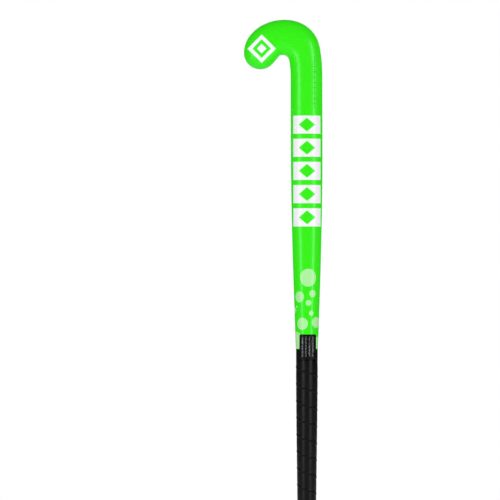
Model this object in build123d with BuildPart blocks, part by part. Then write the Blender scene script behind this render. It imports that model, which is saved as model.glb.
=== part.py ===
from build123d import *
from math import cos, radians, sin, sqrt
import os

os.makedirs("parts", exist_ok=True)

# A field hockey stick standing upright: butt end at z = 0, head at the top.
# The rounded back looks towards -Y, the flat playing face towards +Y and the toe towards -X.

# Overall sizes
stick_length = 927.0
face_width = 46.0
bow_depth = 20.0
bow_height = 637.0

# Head outline, walked from the heel side of the shaft over the top to the toe
heel_start_z = 846.4
heel_arcs = [(234.5, 10.05), (47.3, 64.2), (66.6, 55.6), (43.2, 48.4), (23.8, 143.2)]
toe_straight = 10.45
notch_radius = 9.4
notch_turn = 130.5

# Section sizes
head_thickness = 22.5
collar_width = 31.9
collar_thickness = 28.0
head_edge_radius = 5.0
face_grind = 0.05
collar_edge_radius = 11.0

# Shaft taper
taper_break_z = 660.0
taper_blend = 100.0
section_blend_z = 730.0

# Walls of the moulded shell and its fillings
glue_line = 0.15
skin_wall = 1.6
layer_wall = 1.0
tube_wall = 1.0
head_layer_end_z = 780.0

# Handle
collar_z = 452.0
grip_top_z = 436.0
tape_wall = 0.3
tape_step = 0.4
underlay_wall = 0.4
grip_wall = 1.5
grip_top_width = 31.8
grip_butt_width = 27.8
grip_thickness_ratio = 0.93
grip_taper_top_z = 407.0
grip_taper_end_z = 197.0

# Butt plug
flange_height = 2.6
stem_length = 36.0

# Specification label on the back
label_top_z = 473.0
label_bottom_z = 438.0
label_left_x = -11.0
label_right_x = 13.0
label_corner_radius = 2.0
label_wall = 0.2

# Worked out from the sizes above
seat_depth = grip_wall + underlay_wall + 2 * glue_line
face_plane_y = grip_butt_width * grip_thickness_ratio / 2
bow_start_z = stick_length - 70.0
tape_seat_depth = tape_step + tape_wall + glue_line
toe_radius = heel_arcs[-1][0]
filling_inset = skin_wall + layer_wall + 2 * glue_line
bore_end_z = flange_height + stem_length + glue_line
inner_blend = 40.0
least_edge = 0.8
flange_edge = 1.0
label_bend = 1.5
least_flat = 0.08
outline_run = 60.0
hook_steps = 8
toe_angles = (0, 22, 42, 58, 71, 82)
toe_margin = 2.0


def smooth(value, start, end):
    # eases from 0 at start to 1 at end
    share = min(1.0, max(0.0, (value - start) / (end - start)))
    return share * share * (3 - 2 * share)


def face_y(z):
    # face line of shaft and grip: straight head, bow, straight handle
    if z > bow_height:
        return face_plane_y - bow_depth * (1 - smooth(z, bow_height, bow_start_z))
    curve_length = bow_height - collar_z
    slope = bow_depth / (curve_length / 2 + collar_z)
    if z > collar_z:
        return face_plane_y - bow_depth + slope * (bow_height - z) ** 2 / (2 * curve_length)
    return face_plane_y - slope * z


def shaft_size(z):
    # width, thickness and face edge radius of the painted shaft
    slope = (face_width - collar_width) / (taper_break_z - collar_z)
    below = taper_break_z - z
    run = max(0.0, below)
    if abs(below) < taper_blend:
        run = (below + taper_blend) ** 2 / (4 * taper_blend)
    to_head = smooth(z, collar_z, section_blend_z)
    thickness = collar_thickness + (head_thickness - collar_thickness) * to_head
    radius = collar_edge_radius + (head_edge_radius - collar_edge_radius) * to_head
    return face_width - slope * run, thickness, radius


def grip_size(z):
    # width, thickness and face edge radius over the finished grip
    swell = smooth(z, grip_taper_end_z, grip_taper_top_z)
    width = grip_butt_width + (grip_top_width - grip_butt_width) * swell
    return width, width * grip_thickness_ratio, collar_edge_radius


def inner_size(z):
    # size and face drop that the layers inside the shell follow, narrowed below the collar
    grip = grip_size(min(z, grip_top_z))
    seat = (grip[0] - 2 * seat_depth, grip[1] - 2 * seat_depth, grip[2] - seat_depth, seat_depth)
    shaft = (*shaft_size(max(z, collar_z)), 0.0)
    share = smooth(z, grip_top_z, collar_z + inner_blend)
    return [low + (high - low) * share for low, high in zip(seat, shaft)]


def section(plane, half, flat, top, equator, back):
    # flat face, rounded face edges and half-round back; y = 0 is the face line
    with BuildSketch(plane) as profile:
        with BuildLine():
            Line((-flat, top), (flat, top))
            EllipticalCenterArc((flat, equator), half - flat, top - equator, 0, arc_size=90)
            EllipticalCenterArc((0, equator), half, back, 180, arc_size=180)
            EllipticalCenterArc((-flat, equator), half - flat, top - equator, 90, arc_size=90)
        make_face()
    return profile.sketch.face()


def level(z, size, face_drop=0.0, inset=0.0):
    # level section whose layer lies inset below the surface given by size
    width, thickness, radius = size
    plane = Plane(origin=(0, face_y(z) - face_drop, z), x_dir=(1, 0, 0), z_dir=(0, 0, 1))
    equator = max(radius, inset + least_edge)
    half = width / 2 - inset
    return section(plane, half, half - equator + inset, -inset, -equator, thickness - inset - equator)


def shaft_levels(heights):
    return [level(z, shaft_size(z)) for z in heights]


def handle_levels(heights, depth):
    # sections of a layer whose surface lies depth below the grip's surface
    return [level(z, grip_size(z), inset=depth) for z in heights]


def inner_levels(heights, inset):
    faces = []
    for z in heights:
        *size, face_drop = inner_size(z)
        faces.append(level(z, size, face_drop, inset))
    return faces


# Outline of the head, closed low on the shaft; its plane is the stick's XZ plane
with BuildSketch() as head_outline:
    with BuildLine():
        run_up = Line((face_width / 2, heel_start_z - outline_run), (face_width / 2, heel_start_z))
        last = run_up
        for radius, turn in heel_arcs:
            last = JernArc(start=last @ 1, tangent=last % 1, radius=radius, arc_size=turn)
        toe_line = Line(last @ 1, last @ 1 + (last % 1) * toe_straight)
        notch = JernArc(start=toe_line @ 1, tangent=toe_line % 1, radius=notch_radius, arc_size=-notch_turn)
        shaft_edge = TangentArc(notch @ 1, (-face_width / 2, heel_start_z), tangent=notch % 1)
        run_down = Line(shaft_edge @ 1, (-face_width / 2, heel_start_z - outline_run))
        Line(run_down @ 1, run_up @ 0)
    make_face()

head_face = head_outline.sketch.face()
notch_centre = notch.arc_center
toe_centre = last.arc_center
toe_travel = (toe_line % 0) * -1
toe_across = Vector(toe_travel.Y, -toe_travel.X)
hook_angle = toe_across.get_signed_angle(Vector(1, 0))


def chord(origin, direction):
    # where a line from the notch side across the head enters and leaves the outline
    inside = Edge.make_line(origin, origin + direction * 80).intersect(head_face)
    cut = max(inside, key=lambda edge: edge.length)
    return sorted([cut @ 0, cut @ 1], key=lambda point: (point - origin).length)


def across_head(start, end, dome=1.0):
    # upright section over a chord; dome is 1 along the hook and shrinks to 0 at the toe's tip
    middle = (start + end) / 2
    across = (end - start).normalized()
    plane = Plane(
        origin=(middle.X, face_plane_y, middle.Y),
        x_dir=(across.X, 0, across.Y),
        z_dir=(-across.Y, 0, across.X),
    )
    half = (end - start).length / 2
    reach = toe_radius * sqrt(1 - dome * dome)
    flat_reach = toe_radius - head_edge_radius
    flat = half - head_edge_radius
    rise = head_edge_radius
    if dome < 1:
        flat = max(least_flat * half, sqrt(max(0.0, flat_reach**2 - reach**2)))
        rise = sqrt(head_edge_radius**2 - max(0.0, reach - flat_reach) ** 2)
    back = (head_thickness - head_edge_radius) * dome
    return section(plane, half, flat, rise - head_edge_radius, -head_edge_radius, back)


def head_sections():
    # from the shaft round the notch to just short of the toe's tip
    middle_z = (heel_start_z + notch_centre.Y) / 2
    sections = [across_head(*chord(Vector(notch_centre.X, middle_z), Vector(1, 0)))]
    for step in range(hook_steps):
        angle = radians(hook_angle * step / hook_steps)
        sections.append(across_head(*chord(notch_centre, Vector(cos(angle), sin(angle)))))
    for angle in toe_angles:
        forward = toe_travel * (toe_radius * sin(radians(angle)))
        origin = toe_centre + forward - toe_across * (toe_radius + toe_margin)
        sections.append(across_head(*chord(origin, toe_across), cos(radians(angle))))
    return sections


def spread(start, end, count):
    # count + 1 heights from start to end
    return [start + (end - start) * step / count for step in range(count + 1)]


# Heights shared by the bodies
seat_bottom_z = flange_height + glue_line
seat_heights = spread(seat_bottom_z, grip_top_z, 8)
shaft_heights = spread(grip_top_z, head_layer_end_z, 12)
core_heights = spread(head_layer_end_z, heel_start_z, 3)

# Moulded outer skin: hollow from the butt to the heel, solid laminate round the hook
with BuildPart() as outer_skin:
    toe_tip = toe_centre + toe_travel * toe_radius
    tip = Vertex(toe_tip.X, face_plane_y - head_edge_radius, toe_tip.Y)
    loft(sections=[*shaft_levels(spread(collar_z, heel_start_z, 12)), *head_sections(), tip])
    loft(sections=[level(z, shaft_size(collar_z), inset=tape_seat_depth) for z in (grip_top_z, collar_z)])
    loft(sections=handle_levels(seat_heights, seat_depth))
    bore_heights = [*seat_heights[:-1], *shaft_heights[:-1], *core_heights]
    loft(sections=inner_levels(bore_heights, skin_wall), mode=Mode.SUBTRACT)
    # ground flat across the playing face of the head
    split(bisect_by=Plane.XZ.offset(face_grind - face_plane_y), keep=Keep.TOP)

outer_skin.part.label = "outer_skin"
export_step(outer_skin.part, "parts/outer_skin.step")

# Aramid wrap between skin and core at the heel
layer_inset = skin_wall + glue_line
plug_heights = spread(head_layer_end_z, heel_start_z - glue_line, 3)
with BuildPart() as aramid_head_wrap:
    loft(sections=inner_levels(plug_heights, layer_inset))
    loft(sections=inner_levels(plug_heights, layer_inset + layer_wall), mode=Mode.SUBTRACT)

aramid_head_wrap.part.label = "aramid_head_wrap"
export_step(aramid_head_wrap.part, "parts/aramid_head_wrap.step")

# Foam core at the heel
with BuildPart() as head_core:
    loft(sections=inner_levels(plug_heights, filling_inset))

head_core.part.label = "head_core"
export_step(head_core.part, "parts/head_core.step")

# Braided carbon sleeve of the shaft, below the head wrap
sleeve_heights = [*spread(bore_end_z, grip_top_z, 8)[:-1], *shaft_heights[:-1], head_layer_end_z - glue_line]
with BuildPart() as carbon_shaft_sleeve:
    loft(sections=inner_levels(sleeve_heights, layer_inset))
    loft(sections=inner_levels(sleeve_heights, layer_inset + layer_wall), mode=Mode.SUBTRACT)

carbon_shaft_sleeve.part.label = "carbon_shaft_sleeve"
export_step(carbon_shaft_sleeve.part, "parts/carbon_shaft_sleeve.step")

# Twin inner tubes, whose straight sides meet as the shaft's central web, and the foam in each
foam_inset = filling_inset + tube_wall + glue_line
web_gap = glue_line / 2
for side, direction in (("heel_side", 1), ("toe_side", -1)):
    keep = Keep.TOP if direction > 0 else Keep.BOTTOM
    with BuildPart() as foam_room:
        loft(sections=inner_levels(sleeve_heights, filling_inset + tube_wall))
        split(bisect_by=Plane.YZ.offset(direction * (web_gap + tube_wall)), keep=keep)
    with BuildPart() as tube:
        loft(sections=inner_levels(sleeve_heights, filling_inset))
        split(bisect_by=Plane.YZ.offset(direction * web_gap), keep=keep)
        add(foam_room.part, mode=Mode.SUBTRACT)
    tube.part.label = side + "_tube"
    export_step(tube.part, "parts/" + side + "_tube.step")
    with BuildPart() as foam:
        loft(sections=inner_levels(sleeve_heights, foam_inset))
        split(bisect_by=Plane.YZ.offset(direction * (web_gap + tube_wall + glue_line)), keep=keep)
    foam.part.label = side + "_foam"
    export_step(foam.part, "parts/" + side + "_foam.step")

# Butt plug: a flange over the end and a stem up the bore
stem_heights = (flange_height, flange_height + stem_length)
with BuildPart() as butt_plug:
    loft(sections=handle_levels((0.0, flange_height), glue_line))
    fillet(butt_plug.edges().group_by(Axis.Z)[0], flange_edge)
    loft(sections=inner_levels(stem_heights, skin_wall + glue_line))

butt_plug.part.label = "butt_plug"
export_step(butt_plug.part, "parts/butt_plug.step")

# Thin cushion under the grip
with BuildPart() as grip_underlay:
    loft(sections=handle_levels(seat_heights, grip_wall + glue_line))
    loft(sections=handle_levels(seat_heights, seat_depth - glue_line), mode=Mode.SUBTRACT)

grip_underlay.part.label = "grip_underlay"
export_step(grip_underlay.part, "parts/grip_underlay.step")

# Grip strip, modelled as the sleeve its turns make together
with BuildPart() as grip_wrap:
    loft(sections=handle_levels(seat_heights, 0.0))
    loft(sections=handle_levels(seat_heights, grip_wall), mode=Mode.SUBTRACT)

grip_wrap.part.label = "grip_wrap"
export_step(grip_wrap.part, "parts/grip_wrap.step")

# Finishing tape around the collar, above the grip's end
tape_heights = (grip_top_z + glue_line, collar_z - glue_line)
with BuildPart() as finishing_tape:
    loft(sections=[level(z, shaft_size(collar_z), inset=tape_step) for z in tape_heights])
    inside = [level(z, shaft_size(collar_z), inset=tape_step + tape_wall) for z in tape_heights]
    loft(sections=inside, mode=Mode.SUBTRACT)

finishing_tape.part.label = "finishing_tape"
export_step(finishing_tape.part, "parts/finishing_tape.step")


def label_levels(height):
    # sections lying height above the paint, and above the tape where the label reaches over it
    over_tape = spread(label_bottom_z, collar_z - label_bend, 2)
    over_paint = spread(collar_z + label_bend, label_top_z, 3)
    faces = [level(z, shaft_size(collar_z), inset=tape_step - height) for z in over_tape]
    return faces + [level(z, shaft_size(z), inset=-height) for z in over_paint]


# Specification label stuck across the paint and the tape on the back
label_plane = Plane.XZ.offset(shaft_size(collar_z)[1] / 2 - face_y(collar_z))
with BuildPart() as label_cut:
    with BuildSketch(label_plane):
        with Locations(((label_left_x + label_right_x) / 2, (label_bottom_z + label_top_z) / 2)):
            RectangleRounded(label_right_x - label_left_x, label_top_z - label_bottom_z, label_corner_radius)
    extrude(amount=2 * face_width)

with BuildPart() as spec_label:
    loft(sections=label_levels(glue_line + label_wall))
    loft(sections=label_levels(glue_line), mode=Mode.SUBTRACT)
    add(label_cut.part, mode=Mode.INTERSECT)

spec_label.part.label = "spec_label"
export_step(spec_label.part, "parts/spec_label.step")
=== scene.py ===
from math import ceil, cos, hypot, pi, sin

import bmesh
import bpy
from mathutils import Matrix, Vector
from mathutils.bvhtree import BVHTree


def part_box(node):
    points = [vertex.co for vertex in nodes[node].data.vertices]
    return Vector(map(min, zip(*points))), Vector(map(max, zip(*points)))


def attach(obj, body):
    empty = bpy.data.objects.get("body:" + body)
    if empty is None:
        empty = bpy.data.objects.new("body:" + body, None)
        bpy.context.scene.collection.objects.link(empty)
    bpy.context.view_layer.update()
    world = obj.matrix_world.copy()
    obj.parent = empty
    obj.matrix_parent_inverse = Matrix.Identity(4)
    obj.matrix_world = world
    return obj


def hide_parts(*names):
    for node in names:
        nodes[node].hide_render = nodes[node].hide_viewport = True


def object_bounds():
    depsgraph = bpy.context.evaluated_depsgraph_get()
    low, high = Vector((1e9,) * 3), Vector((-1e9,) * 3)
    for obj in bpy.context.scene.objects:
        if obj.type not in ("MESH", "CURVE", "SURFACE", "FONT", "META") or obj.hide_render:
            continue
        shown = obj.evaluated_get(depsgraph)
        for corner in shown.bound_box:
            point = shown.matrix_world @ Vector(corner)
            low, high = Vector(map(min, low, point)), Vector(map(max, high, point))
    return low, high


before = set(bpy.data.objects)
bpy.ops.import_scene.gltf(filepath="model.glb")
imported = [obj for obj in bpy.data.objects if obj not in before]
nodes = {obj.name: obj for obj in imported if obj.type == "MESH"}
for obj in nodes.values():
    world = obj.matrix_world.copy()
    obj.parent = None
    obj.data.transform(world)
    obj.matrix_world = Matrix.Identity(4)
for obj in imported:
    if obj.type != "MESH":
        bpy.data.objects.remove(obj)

# The stick stands with its head up: back towards -Y, face towards +Y, toe towards -X.
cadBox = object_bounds()
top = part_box("outer_skin")[1][2]


def fromHead(distance):
    # height of a place given by its distance below the top of the head
    return top - distance


def linear(red, green, blue):
    # sRGB values from 0 to 255 as the linear colour a shader takes
    levels = [value / 255 for value in (red, green, blue)]
    return tuple(v / 12.92 if v <= 0.04045 else ((v + 0.055) / 1.055) ** 2.4 for v in levels) + (1.0,)


def newMaterial(name, color, roughness, shine=0.25):
    material = bpy.data.materials.new(name)
    material.use_nodes = True
    tree = material.node_tree
    shader = tree.nodes["Principled BSDF"]
    shader.inputs["Base Color"].default_value = (*color[:3], 1.0)
    shader.inputs["Roughness"].default_value = roughness
    shader.inputs["Specular IOR Level"].default_value = shine
    return material, shader, tree


def feed(tree, socket, value):
    # a number or colour is set on the socket, anything else is linked to it
    if isinstance(value, (int, float, tuple)):
        socket.default_value = value
    else:
        tree.links.new(value, socket)


def compute(tree, operation, *values):
    node = tree.nodes.new("ShaderNodeMath")
    node.operation = operation
    for socket, value in zip(node.inputs, values):
        feed(tree, socket, value)
    return node.outputs[0]


def remap(tree, value, fromLow, fromHigh, toLow=0.0, toHigh=1.0):
    node = tree.nodes.new("ShaderNodeMapRange")
    feed(tree, node.inputs["Value"], value)
    feed(tree, node.inputs["From Min"], fromLow)
    feed(tree, node.inputs["From Max"], fromHigh)
    feed(tree, node.inputs["To Min"], toLow)
    feed(tree, node.inputs["To Max"], toHigh)
    return node.outputs["Result"]


def mixColor(tree, factor, low, high):
    node = tree.nodes.new("ShaderNodeMix")
    node.data_type = "RGBA"
    colors = [socket for socket in node.inputs if socket.type == "RGBA"]
    feed(tree, node.inputs["Factor"], factor)
    feed(tree, colors[0], low)
    feed(tree, colors[1], high)
    return [socket for socket in node.outputs if socket.type == "RGBA"][0]


def both(tree, *masks):
    result = masks[0]
    for mask in masks[1:]:
        result = compute(tree, "MULTIPLY", result, mask)
    return result


def either(tree, *masks):
    result = masks[0]
    for mask in masks[1:]:
        result = compute(tree, "MAXIMUM", result, mask)
    return result


def between(tree, value, low, high, soft=0.00015):
    # 1 where value lies from low to high, with a thin soft edge
    rise = remap(tree, value, low - soft, low + soft)
    fall = remap(tree, value, high - soft, high + soft)
    return compute(tree, "SUBTRACT", rise, fall)


def repeat(tree, value, start, pitch):
    # runs from 0 to 1 over each pitch, counted from start
    return compute(tree, "FRACT", compute(tree, "DIVIDE", compute(tree, "SUBTRACT", value, start), pitch))


def noise(tree, place, scale, detail=3.0):
    node = tree.nodes.new("ShaderNodeTexNoise")
    feed(tree, node.inputs["Scale"], scale)
    feed(tree, node.inputs["Detail"], detail)
    feed(tree, node.inputs["Vector"], place)
    return node.outputs["Fac"]


def surfacePlace(tree):
    # object coordinates, whole and split up
    coordinates = tree.nodes.new("ShaderNodeTexCoord")
    split = tree.nodes.new("ShaderNodeSeparateXYZ")
    tree.links.new(coordinates.outputs["Object"], split.inputs["Vector"])
    return coordinates.outputs["Object"], split.outputs["X"], split.outputs["Z"]


def sides(tree):
    # masks for the rounded back and for the flat face
    geometry = tree.nodes.new("ShaderNodeNewGeometry")
    normal = tree.nodes.new("ShaderNodeSeparateXYZ")
    tree.links.new(geometry.outputs["Normal"], normal.inputs["Vector"])
    isBack = compute(tree, "LESS_THAN", normal.outputs["Y"], 0.15)
    isFace = compute(tree, "GREATER_THAN", normal.outputs["Y"], 0.6)
    return isBack, isFace


# fine grain for every painted, wound, taped and inner surface; the label has none
grainInputs = ("Rough Low", "Rough High", "Rough Scale", "Rough Detail",
               "Bump Scale", "Bump Detail", "Bump Strength", "Bump Distance")


def makeGrainGroup():
    group = bpy.data.node_groups.new("surfaceGrain", "ShaderNodeTree")
    for name in grainInputs:
        group.interface.new_socket(name, in_out="INPUT", socket_type="NodeSocketFloat")
    group.interface.new_socket("Roughness", in_out="OUTPUT", socket_type="NodeSocketFloat")
    group.interface.new_socket("Normal", in_out="OUTPUT", socket_type="NodeSocketVector")
    given = group.nodes.new("NodeGroupInput").outputs
    result = group.nodes.new("NodeGroupOutput").inputs
    place = group.nodes.new("ShaderNodeTexCoord").outputs["Object"]
    patches = noise(group, place, given["Rough Scale"], given["Rough Detail"])
    roughness = remap(group, patches, 0.0, 1.0, given["Rough Low"], given["Rough High"])
    group.links.new(roughness, result["Roughness"])
    bump = group.nodes.new("ShaderNodeBump")
    group.links.new(noise(group, place, given["Bump Scale"], given["Bump Detail"]), bump.inputs["Height"])
    group.links.new(given["Bump Strength"], bump.inputs["Strength"])
    group.links.new(given["Bump Distance"], bump.inputs["Distance"])
    group.links.new(bump.outputs["Normal"], result["Normal"])
    return group


def addGrain(tree, shader, group, values):
    node = tree.nodes.new("ShaderNodeGroup")
    node.node_tree = group
    for name, value in values.items():
        node.inputs[name].default_value = value
    tree.links.new(node.outputs["Normal"], shader.inputs["Normal"])
    tree.links.new(node.outputs["Roughness"], shader.inputs["Roughness"])
    return node.outputs["Roughness"]


studio = {
    "lens": 200.0,
    "sensor": 36.0,
    "viewHeight": 0.7217,
    "viewX": -0.0818,
    "viewZ": 0.594,
    "farthest": 100.0,
    "floorSize": 2.2,
    "floorGap": 0.0005,
    "roomLight": 0.54,
    "roomReflected": 0.06,
    "aim": (0, 0, 0.6),
}

lamps = (
    {"name": "leftSoftbox", "place": (-1.6, -1.6, 0.9), "size": (0.5, 1.8), "power": 19.0},
    {"name": "rightSoftbox", "place": (1.6, -1.6, 0.9), "size": (0.5, 1.8), "power": 19.0},
    {"name": "backSoftbox", "place": (0.4, 2.2, 1.3), "size": (1.6, 1.6), "power": 14.0},
)


def addCamera():
    data = bpy.data.cameras.new("camera")
    data.lens = studio["lens"]
    data.sensor_width = studio["sensor"]
    data.clip_end = studio["farthest"]
    camera = bpy.data.objects.new("camera", data)
    distance = studio["viewHeight"] * studio["lens"] / studio["sensor"]
    camera.location = (studio["viewX"], -distance, studio["viewZ"])
    camera.rotation_euler = (pi / 2, 0, 0)
    bpy.context.scene.collection.objects.link(camera)
    bpy.context.scene.camera = camera


def addLamp(name, place, size, power):
    data = bpy.data.lights.new(name, "AREA")
    data.shape = "RECTANGLE"
    data.size, data.size_y = size
    data.energy = power
    lamp = bpy.data.objects.new(name, data)
    lamp.location = place
    direction = Vector(studio["aim"]) - lamp.location
    lamp.rotation_euler = direction.to_track_quat("-Z", "Y").to_euler()
    bpy.context.scene.collection.objects.link(lamp)


def addWorld():
    world = bpy.data.worlds.new("world")
    world.use_nodes = True
    tree = world.node_tree
    tree.nodes.clear()
    output = tree.nodes.new("ShaderNodeOutputWorld")
    mix = tree.nodes.new("ShaderNodeMixShader")
    rays = tree.nodes.new("ShaderNodeLightPath")
    seen = tree.nodes.new("ShaderNodeBackground")
    seen.inputs["Color"].default_value = (1, 1, 1, 1)
    seen.inputs["Strength"].default_value = 1.0
    room = tree.nodes.new("ShaderNodeBackground")
    room.inputs["Color"].default_value = (1, 1, 1, 1)
    # dimmer in reflections, so that the lamps' sheen stands out and blacks stay black
    drop = studio["roomReflected"] - studio["roomLight"]
    strength = compute(tree, "MULTIPLY_ADD", rays.outputs["Is Glossy Ray"], drop, studio["roomLight"])
    tree.links.new(strength, room.inputs["Strength"])
    tree.links.new(rays.outputs["Is Camera Ray"], mix.inputs["Fac"])
    tree.links.new(room.outputs["Background"], mix.inputs[1])
    tree.links.new(seen.outputs["Background"], mix.inputs[2])
    tree.links.new(mix.outputs["Shader"], output.inputs["Surface"])
    bpy.context.scene.world = world


def addFloor():
    mesh = bpy.data.meshes.new("floor")
    build = bmesh.new()
    bmesh.ops.create_grid(build, x_segments=1, y_segments=1, size=studio["floorSize"])
    build.to_mesh(mesh)
    build.free()
    floor = bpy.data.objects.new("floor", mesh)
    floor.location = (0, 0, cadBox[0][2] - studio["floorGap"])
    bpy.context.scene.collection.objects.link(floor)
    floor.data.materials.append(newMaterial("floorWhite", (0.86, 0.86, 0.86), 0.7)[0])


# Places along the stick are distances below the top of the head.
paint = {
    "green": linear(50, 240, 4),
    "deepGreen": linear(12, 165, 4),
    "pale": linear(169, 237, 156),
    "white": linear(240, 240, 242),
    "bare": linear(12, 12, 13),
    "cloudScale": 14.0,
    "cloudShare": 0.10,
    "coat": 0.12,
    "coatRoughness": 0.12,
    "grain": {
        "Rough Low": 0.26,
        "Rough High": 0.38,
        "Rough Scale": 90.0,
        "Rough Detail": 3.0,
        "Bump Scale": 260.0,
        "Bump Detail": 3.0,
        "Bump Strength": 0.05,
        "Bump Distance": 0.0004,
    },
    "edgeWrap": 900.0,
}

blocks = {
    "count": 5,
    "fill": 0.78,
    "holeWidth": 0.62,
    "holeHeight": 0.30,
    "backHalfWidth": 0.0195,
    "backSpan": (0.303, 0.136),
    "faceHalfWidth": 0.0165,
    "faceSpan": (0.283, 0.160),
}

toeMark = {"x": -0.0650, "down": 0.0430, "outer": 0.0205, "inner": 0.0135, "core": 0.0070}

pinstripe = {"edges": (0.0003, 0.0040), "stopsAt": 0.150, "startsAgain": 0.292}

dashes = {"edges": (-0.0043, -0.0017), "span": (0.475, 0.409), "pitch": 0.0060, "fill": (0.19, 0.81)}

hairline = {"edges": (0.0108, 0.0114), "tickEdges": (0.0085, 0.0137), "span": (0.129, 0.054),
            "tickPitch": 0.0077, "tick": (0.45, 0.53)}

# centre across the rounded surface, distance below the head's top, radius
dots = [
    (0.0019, 0.3727, 0.0127), (-0.0125, 0.4003, 0.0078), (0.0084, 0.3956, 0.0053), (0.0022, 0.4088, 0.0042),
    (-0.0175, 0.4145, 0.0015), (-0.0240, 0.4197, 0.0050), (0.0062, 0.4236, 0.0036), (-0.0075, 0.4387, 0.0087),
    (0.0150, 0.4369, 0.0078), (-0.0190, 0.4630, 0.0125), (0.0215, 0.4690, 0.0120),
]


def disc(tree, across, along, centre, radius, soft=0.0002):
    # 1 inside a circle
    dx = compute(tree, "SUBTRACT", across, centre[0])
    dz = compute(tree, "SUBTRACT", along, centre[1])
    square = compute(tree, "ADD", compute(tree, "MULTIPLY", dx, dx), compute(tree, "MULTIPLY", dz, dz))
    return remap(tree, compute(tree, "SQRT", square), radius + soft, radius - soft)


def diamond(tree, x, z, centre, halfWidth, halfHeight):
    # 1 inside a diamond that stands on its corner
    besideX = compute(tree, "ABSOLUTE", compute(tree, "SUBTRACT", x, centre[0]))
    besideZ = compute(tree, "ABSOLUTE", compute(tree, "SUBTRACT", z, centre[1]))
    dx = compute(tree, "DIVIDE", besideX, halfWidth)
    dz = compute(tree, "DIVIDE", besideZ, halfHeight)
    return remap(tree, compute(tree, "ADD", dx, dz), 1.01, 0.99)


def spanOf(tree, z, span):
    return between(tree, z, fromHead(span[0]), fromHead(span[1]))


def blockColumn(tree, x, z, halfWidth, span):
    # a column of bold blocks, each pierced by a diamond
    low, high = fromHead(span[0]), fromHead(span[1])
    pitch = (high - low) / blocks["count"]
    turn = repeat(tree, z, low, pitch)
    local = compute(tree, "MULTIPLY", compute(tree, "SUBTRACT", turn, 0.5), pitch)
    halfHeight = pitch * blocks["fill"] / 2
    block = both(
        tree,
        between(tree, local, -halfHeight, halfHeight),
        between(tree, x, -halfWidth, halfWidth),
        between(tree, z, low, high),
    )
    hole = diamond(tree, x, local, (0.0, 0.0), halfWidth * blocks["holeWidth"], pitch * blocks["holeHeight"])
    return both(tree, block, compute(tree, "SUBTRACT", 1.0, hole))


def whiteMarks(tree, x, z, isBack, isFace):
    backBlocks = both(tree, blockColumn(tree, x, z, blocks["backHalfWidth"], blocks["backSpan"]), isBack)
    faceBlocks = both(tree, blockColumn(tree, x, z, blocks["faceHalfWidth"], blocks["faceSpan"]), isFace)
    centre = (toeMark["x"], fromHead(toeMark["down"]))
    outer, inner, core = [
        diamond(tree, x, z, centre, toeMark[name], toeMark[name]) for name in ("outer", "inner", "core")
    ]
    ring = both(tree, outer, compute(tree, "SUBTRACT", 1.0, inner))
    return either(tree, backBlocks, faceBlocks, both(tree, either(tree, ring, core), isBack))


def paleMarks(tree, x, z, isBack, isFace):
    # towards the edges a step across the surface covers less of x
    cube = compute(tree, "POWER", compute(tree, "ABSOLUTE", x), 3.0)
    wrap = compute(tree, "MULTIPLY", cube, paint["edgeWrap"])
    across = compute(tree, "ADD", x, compute(tree, "MULTIPLY", wrap, compute(tree, "SIGN", x)))
    discs = [disc(tree, across, z, (dx, fromHead(down)), radius) for dx, down, radius in dots]
    onHead = between(tree, z, fromHead(pinstripe["stopsAt"]), 2.0)
    onShaft = between(tree, z, 0.0, fromHead(pinstripe["startsAgain"]))
    stripe = both(tree, between(tree, x, *pinstripe["edges"]), isFace, either(tree, onHead, onShaft))
    turn = repeat(tree, z, fromHead(dashes["span"][0]), dashes["pitch"])
    column = both(
        tree,
        between(tree, x, *dashes["edges"]),
        isFace,
        between(tree, turn, *dashes["fill"], 0.02),
        spanOf(tree, z, dashes["span"]),
    )
    return either(tree, both(tree, either(tree, *discs), isBack), stripe, column)


def fineMarks(tree, x, z, isBack):
    # dark hairline with ticks on the heel side of the back
    turn = repeat(tree, z, 0.0, hairline["tickPitch"])
    ticks = both(tree, between(tree, x, *hairline["tickEdges"]), between(tree, turn, *hairline["tick"], 0.01))
    line = between(tree, x, *hairline["edges"])
    return both(tree, either(tree, line, ticks), spanOf(tree, z, hairline["span"]), isBack)


def paintSkin(grain):
    material, shader, tree = newMaterial("paintedSkin", paint["green"], 0.3)
    place, x, z = surfacePlace(tree)
    isBack, isFace = sides(tree)
    cloud = compute(tree, "MULTIPLY", noise(tree, place, paint["cloudScale"]), paint["cloudShare"])
    base = mixColor(tree, cloud, paint["green"], paint["deepGreen"])
    base = mixColor(tree, fineMarks(tree, x, z, isBack), base, paint["deepGreen"])
    base = mixColor(tree, paleMarks(tree, x, z, isBack, isFace), base, paint["pale"])
    base = mixColor(tree, whiteMarks(tree, x, z, isBack, isFace), base, paint["white"])
    # the paint ends under the tape
    isBare = compute(tree, "LESS_THAN", z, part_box("finishing_tape")[1][2])
    base = mixColor(tree, isBare, base, paint["bare"])
    tree.links.new(base, shader.inputs["Base Color"])
    shader.inputs["Coat Weight"].default_value = paint["coat"]
    shader.inputs["Coat Roughness"].default_value = paint["coatRoughness"]
    addGrain(tree, shader, grain, paint["grain"])
    return material


grip = {
    "pitch": 0.0242,
    "around": 96,
    "stepsPerTurn": 32,
    "lapHeight": 0.0006,
    "lapWidth": 0.0035,
    "crown": 0.35,
    "wall": 0.0014,
    "probe": 0.0002,
    "reach": 0.05,
    "shine": 0.22,
    "film": linear(8, 8, 9),
    "dark": linear(1, 1, 1),
    "worn": linear(5, 5, 5),
    "seamDull": 0.5,
    "grain": {
        "Rough Low": 0.30,
        "Rough High": 0.42,
        "Rough Scale": 45.0,
        "Rough Detail": 4.0,
        "Bump Scale": 1500.0,
        "Bump Detail": 2.0,
        "Bump Strength": 0.35,
        "Bump Distance": 0.0002,
    },
}


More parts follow.
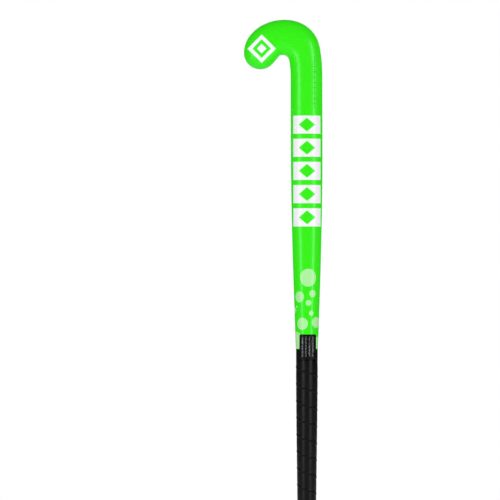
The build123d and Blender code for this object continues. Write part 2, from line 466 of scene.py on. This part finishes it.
def gripMaterial(grain):
    material, shader, tree = newMaterial("gripBlack", grip["film"], 0.42, grip["shine"])
    place = surfacePlace(tree)[0]
    roughness = addGrain(tree, shader, grain, grip["grain"])
    tone = mixColor(tree, noise(tree, place, 45.0, 4.0), grip["dark"], grip["worn"])
    # the seam where a turn laps over the one below is dull, and its colour is darkened to black there as
    # painted shade of the step's groove
    seam = tree.nodes.new("ShaderNodeAttribute")
    seam.attribute_name = "lap"
    paintedSeamShade = mixColor(tree, seam.outputs["Fac"], tone, (0.0, 0.0, 0.0, 1.0))
    tree.links.new(paintedSeamShade, shader.inputs["Base Color"])
    dull = compute(tree, "MULTIPLY_ADD", seam.outputs["Fac"], grip["seamDull"], roughness)
    tree.links.new(compute(tree, "MINIMUM", dull, 0.95), shader.inputs["Roughness"])
    return material


def sleeveProbe(source, low, high):
    # gives the sleeve's outer radius around its own axis, by height and angle
    build = bmesh.new()
    build.from_mesh(source.data)
    surface = BVHTree.FromBMesh(build)
    build.free()
    ends = []
    for level in (low + grip["probe"], high - grip["probe"]):
        back = surface.ray_cast(Vector((0, -0.1, level)), Vector((0, 1, 0)))[0].y
        face = surface.ray_cast(Vector((0, 0.1, level)), Vector((0, -1, 0)))[0].y
        ends.append((back + face) / 2)

    def outer(z, angle):
        level = min(max(z, low + grip["probe"]), high - grip["probe"])
        middleY = ends[0] + (ends[1] - ends[0]) * (level - low) / (high - low)
        start = Vector((grip["reach"] * cos(angle), middleY + grip["reach"] * sin(angle), level))
        hit = surface.ray_cast(start, Vector((-cos(angle), -sin(angle), 0)))[0]
        return middleY, hypot(hit.x, hit.y - middleY)

    return outer


def lapShape(z, angle):
    # how far the strip stands out where it laps, and how dark its seam is painted as shade of the step's
    # groove
    turn = (z / grip["pitch"] + angle / (2 * pi)) % 1.0
    lap = turn * grip["pitch"] / grip["lapWidth"]
    step = min(1.0, lap * 5) * max(0.0, 1 - lap) * 1.3 if lap < 1 else 0.0
    rise = grip["lapHeight"] * (step + grip["crown"] * sin(pi * turn) - 1)
    return rise, max(0.0, 1 - abs(lap - 0.25) * 1.6)


def closeEnd(build, ring, isTop):
    # a thin rim, so that the strip's end shows its thickness
    middle = sum((vert.co for vert in ring), Vector()) / len(ring)
    inner = []
    for vert in ring:
        offset = vert.co - middle
        inner.append(build.verts.new(middle + offset * (1 - grip["wall"] / offset.length)))
    for side in range(grip["around"]):
        follow = (side + 1) % grip["around"]
        corners = (ring[side], ring[follow], inner[follow], inner[side])
        build.faces.new(corners if isTop else corners[::-1])


def spiralGrip(grain):
    # the strip's turns: each overlaps the one before, so its edge stands up along a helix
    low, high = [corner[2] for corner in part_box("grip_wrap")]
    outer = sleeveProbe(nodes["grip_wrap"], low, high)
    height = high - low
    rows = ceil(height / grip["pitch"] * grip["stepsPerTurn"])
    mesh = bpy.data.meshes.new("gripSpiral")
    build = bmesh.new()
    rings = []
    laps = []
    for row in range(rows + 1):
        z = low + height * row / rows
        ring = []
        for side in range(grip["around"]):
            angle = 2 * pi * side / grip["around"]
            middleY, radius = outer(z, angle)
            rise, seam = lapShape(z, angle)
            radius += rise
            laps.append(seam)
            ring.append(build.verts.new((radius * cos(angle), middleY + radius * sin(angle), z)))
        rings.append(ring)
    for lower, upper in zip(rings, rings[1:]):
        for side in range(grip["around"]):
            follow = (side + 1) % grip["around"]
            build.faces.new((lower[side], lower[follow], upper[follow], upper[side]))
    closeEnd(build, rings[0], False)
    closeEnd(build, rings[-1], True)
    build.normal_update()
    build.to_mesh(mesh)
    build.free()
    # the seam value is stored per vertex; it sets the painted groove shade and the seam's dullness
    edge = mesh.attributes.new("lap", "FLOAT", "POINT")
    for vertex, value in enumerate(laps):
        edge.data[vertex].value = value
    for face in mesh.polygons:
        face.use_smooth = True
    piece = bpy.data.objects.new("grip_spiral", mesh)
    bpy.context.scene.collection.objects.link(piece)
    piece.data.materials.append(gripMaterial(grain))
    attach(piece, "root")
    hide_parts("grip_wrap")


label = {
    "film": linear(8, 8, 9),
    "print": linear(130, 132, 135),
    "roughness": 0.35,
    "shine": 0.15,
    "columns": 4,
    "line": (0.30, 0.62),
    "marginX": 0.0020,
    "marginZ": 0.003,
    "breakScale": 900.0,
}


def labelMaterial():
    # black film with fine grey broken lines in columns
    material, shader, tree = newMaterial("labelBlack", label["film"], label["roughness"], label["shine"])
    place, x, z = surfacePlace(tree)
    low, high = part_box("spec_label")
    left, right = low[0] + label["marginX"], high[0] - label["marginX"]
    column = repeat(tree, x, left, (right - left) / label["columns"])
    mask = both(
        tree,
        between(tree, column, *label["line"], 0.03),
        compute(tree, "GREATER_THAN", noise(tree, place, label["breakScale"], 2.0), 0.50),
        between(tree, x, left, right),
        between(tree, z, low[2] + label["marginZ"], high[2] - label["marginZ"]),
    )
    tree.links.new(mixColor(tree, mask, label["film"], label["print"]), shader.inputs["Base Color"])
    return material


plainPieces = (
    {"node": "finishing_tape", "name": "tapeBlack", "color": linear(7, 7, 8), "rough": 0.36, "scale": 700.0},
    {"node": "butt_plug", "name": "plugBlack", "color": linear(18, 18, 18), "rough": 0.5, "scale": 500.0},
)

innerPieces = (
    {"node": "aramid_head_wrap", "color": linear(196, 164, 70), "rough": 0.6},
    {"node": "head_core", "color": linear(222, 212, 176), "rough": 0.9},
    {"node": "carbon_shaft_sleeve", "color": linear(30, 30, 32), "rough": 0.35},
    {"node": "heel_side_tube", "color": linear(34, 34, 36), "rough": 0.35},
    {"node": "toe_side_tube", "color": linear(34, 34, 36), "rough": 0.35},
    {"node": "heel_side_foam", "color": linear(222, 212, 176), "rough": 0.9},
    {"node": "toe_side_foam", "color": linear(222, 212, 176), "rough": 0.9},
    {"node": "grip_underlay", "color": linear(60, 60, 62), "rough": 0.8},
)


def plainMaterial(name, color, rough, scale, grain):
    material, shader, tree = newMaterial(name, color, rough, 0.15)
    addGrain(tree, shader, grain, {
        "Rough Low": rough - 0.05,
        "Rough High": rough + 0.08,
        "Rough Scale": scale / 8,
        "Rough Detail": 3.0,
        "Bump Scale": scale,
        "Bump Detail": 3.0,
        "Bump Strength": 0.15,
        "Bump Distance": 0.0002,
    })
    return material


def finishNode(name, material):
    node = nodes[name]
    node.data.materials.clear()
    node.data.materials.append(material)


def finishPlain(grain):
    for piece in plainPieces:
        material = plainMaterial(piece["name"], piece["color"], piece["rough"], piece["scale"], grain)
        finishNode(piece["node"], material)
    for piece in innerPieces:
        material = plainMaterial(piece["node"] + "Finish", piece["color"], piece["rough"], 400.0, grain)
        finishNode(piece["node"], material)


bpy.context.scene.view_settings.view_transform = "Standard"
addCamera()
addWorld()
addFloor()
for lamp in lamps:
    addLamp(**lamp)
print("studio ready")
surfaceGrain = makeGrainGroup()
finishNode("outer_skin", paintSkin(surfaceGrain))
print("skin painted")
spiralGrip(surfaceGrain)
print("grip wound")
finishNode("spec_label", labelMaterial())
finishPlain(surfaceGrain)
print("tape, plug, label and inner layers finished")
